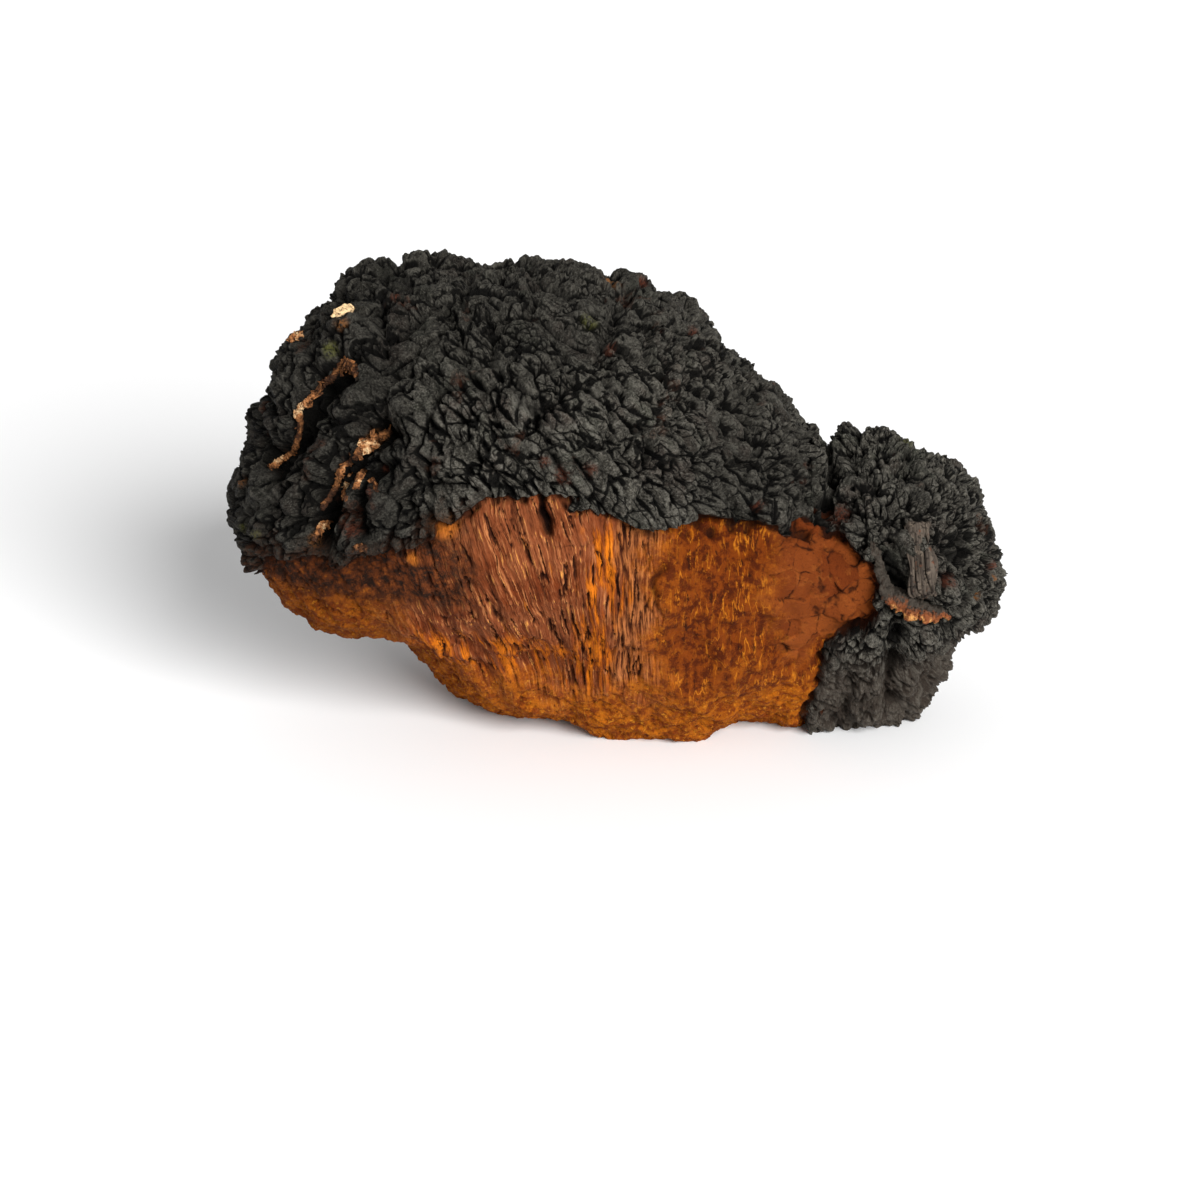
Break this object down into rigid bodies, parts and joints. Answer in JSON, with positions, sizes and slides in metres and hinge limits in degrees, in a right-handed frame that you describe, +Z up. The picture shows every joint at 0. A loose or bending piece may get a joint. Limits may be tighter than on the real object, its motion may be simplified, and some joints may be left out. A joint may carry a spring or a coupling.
{
  "type": "chaga mushroom",
  "caption": "Sterile chaga conk lying on its broken face: cracked black crust over a fibrous rusty core, a side lobe, and scraps of birch bark in the folds.",
  "frame": {"origin": "on the surface it lies on, under the middle of its bounding box", "axes": "+X along its length towards the side lobe, +Y away from the bare core, +Z up"},
  "size_m": [0.2496, 0.1299, 0.1497],
  "materials": {
    "charred_crust": "charcoal-black cracked crust with a dull sheen, and rusty orange-brown fibrous core where it is broken",
    "birch_bark": "weathered tan to dark brown bark"
  },
  "bodies": {
    "root": {"conk": "charred_crust", "bark_strip_upper": "birch_bark", "bark_strip_lower": "birch_bark", "bark_chip": "birch_bark", "bark_plate": "birch_bark", "bark_flap": "birch_bark"}
  },
  "joints": []
}
